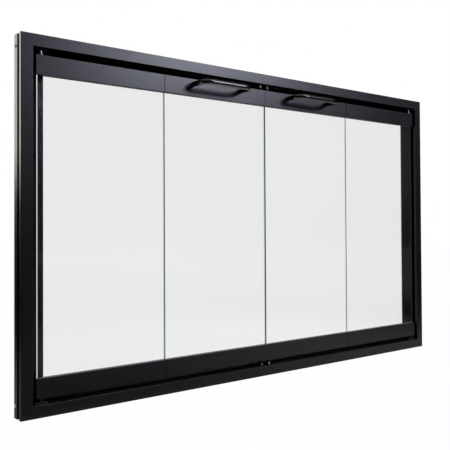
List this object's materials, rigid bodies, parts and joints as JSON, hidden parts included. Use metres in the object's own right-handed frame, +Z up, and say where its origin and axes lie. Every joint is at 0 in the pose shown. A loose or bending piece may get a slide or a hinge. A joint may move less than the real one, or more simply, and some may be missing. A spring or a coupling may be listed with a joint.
{
  "type": "fireplace glass door",
  "caption": "Bi-fold fireplace glass door: black mitred frame, folding clear glass panels hung on pivot pins and guided in top and bottom tracks, with bow pulls on the middle panels.",
  "frame": {"origin": "middle of the bottom edge of the frame's rear face, the face that goes against the firebox", "axes": "+X to the viewer's right along the width, +Y from the room into the fireplace, +Z up"},
  "size_m": [0.9424, 0.0595, 0.559],
  "materials": {
    "black_coat": "satin black coat on aluminium",
    "black_oxide": "black oxide on steel",
    "bright_zinc": "bright zinc on steel",
    "nylon": "moulded black nylon",
    "vinyl": "pale grey glazing vinyl",
    "clear_glass": "clear tempered glass"
  },
  "bodies": {
    "frame": {"top_frame_member": "black_coat", "bottom_frame_member": "black_coat", "left_frame_member": "black_coat", "right_frame_member": "black_coat", "corner_keys": "bright_zinc", "corner_screws": "bright_zinc", "socket_screws": "black_oxide", "left_top_pivot_socket": "nylon", "left_bottom_pivot_socket": "nylon", "right_top_pivot_socket": "nylon", "right_bottom_pivot_socket": "nylon"},
    "left_outer_door": {"left_outer_glass": "clear_glass", "left_outer_top_rail": "black_coat", "left_outer_bottom_rail": "black_coat", "left_outer_glazing_strips": "vinyl", "left_top_pin_bush": "bright_zinc", "left_pin_spring": "bright_zinc", "left_bottom_pivot_pin": "black_oxide", "left_bottom_pin_block": "bright_zinc", "left_outer_hinge_leaves": "black_oxide", "left_hinge_pins": "bright_zinc", "left_outer_hinge_rivets": "black_oxide"},
    "left_top_pin": {"left_top_pivot_pin": "bright_zinc"},
    "left_inner_door": {"left_inner_glass": "clear_glass", "left_inner_top_rail": "black_coat", "left_inner_bottom_rail": "black_coat", "left_inner_glazing_strips": "vinyl", "left_guide_blocks": "bright_zinc", "left_guide_studs": "bright_zinc", "left_guide_nuts": "black_oxide", "left_guide_caps": "nylon", "left_inner_hinge_leaves": "black_oxide", "left_inner_hinge_rivets": "black_oxide", "left_pull": "black_coat", "left_pull_screws": "bright_zinc"},
    "right_outer_door": {"right_outer_glass": "clear_glass", "right_outer_top_rail": "black_coat", "right_outer_bottom_rail": "black_coat", "right_outer_glazing_strips": "vinyl", "right_top_pin_bush": "bright_zinc", "right_pin_spring": "bright_zinc", "right_bottom_pivot_pin": "black_oxide", "right_bottom_pin_block": "bright_zinc", "right_outer_hinge_leaves": "black_oxide", "right_hinge_pins": "bright_zinc", "right_outer_hinge_rivets": "black_oxide"},
    "right_top_pin": {"right_top_pivot_pin": "bright_zinc"},
    "right_inner_door": {"right_inner_glass": "clear_glass", "right_inner_top_rail": "black_coat", "right_inner_bottom_rail": "black_coat", "right_inner_glazing_strips": "vinyl", "right_guide_blocks": "bright_zinc", "right_guide_studs": "bright_zinc", "right_guide_nuts": "black_oxide", "right_guide_caps": "nylon", "right_inner_hinge_leaves": "black_oxide", "right_inner_hinge_rivets": "black_oxide", "right_pull": "black_coat", "right_pull_screws": "bright_zinc"}
  },
  "joints": [
    {"name": "left_outer_pivot", "type": "hinge", "parent": "frame", "child": "left_outer_door", "pos_m": [-0.437, -0.017, 0], "axis": [0, 0, -1], "range_deg": [0, 85]},
    {"name": "left_inner_fold", "type": "hinge", "parent": "left_outer_door", "child": "left_inner_door", "pos_m": [-0.2229, -0.0087, 0], "axis": [0, 0, 1], "range_deg": [0, 170]},
    {"name": "left_pin_retract", "type": "slide", "parent": "left_outer_door", "child": "left_top_pin", "axis": [0, 0, -1], "range_m": [0, 0.0062], "stiffness_N_per_m": 1500, "springref_m": -0.003, "deforming": ["left_pin_spring"]},
    {"name": "right_outer_pivot", "type": "hinge", "parent": "frame", "child": "right_outer_door", "pos_m": [0.437, -0.017, 0], "axis": [0, 0, 1], "range_deg": [0, 85]},
    {"name": "right_inner_fold", "type": "hinge", "parent": "right_outer_door", "child": "right_inner_door", "pos_m": [0.2229, -0.0087, 0], "axis": [0, 0, -1], "range_deg": [0, 170]},
    {"name": "right_pin_retract", "type": "slide", "parent": "right_outer_door", "child": "right_top_pin", "axis": [0, 0, -1], "range_m": [0, 0.0062], "stiffness_N_per_m": 1500, "springref_m": -0.003, "deforming": ["right_pin_spring"]}
  ],
  "couplings": [
    {"joint": "left_inner_fold", "follows": "left_outer_pivot", "ratio": 2},
    {"joint": "right_inner_fold", "follows": "right_outer_pivot", "ratio": 2}
  ]
}
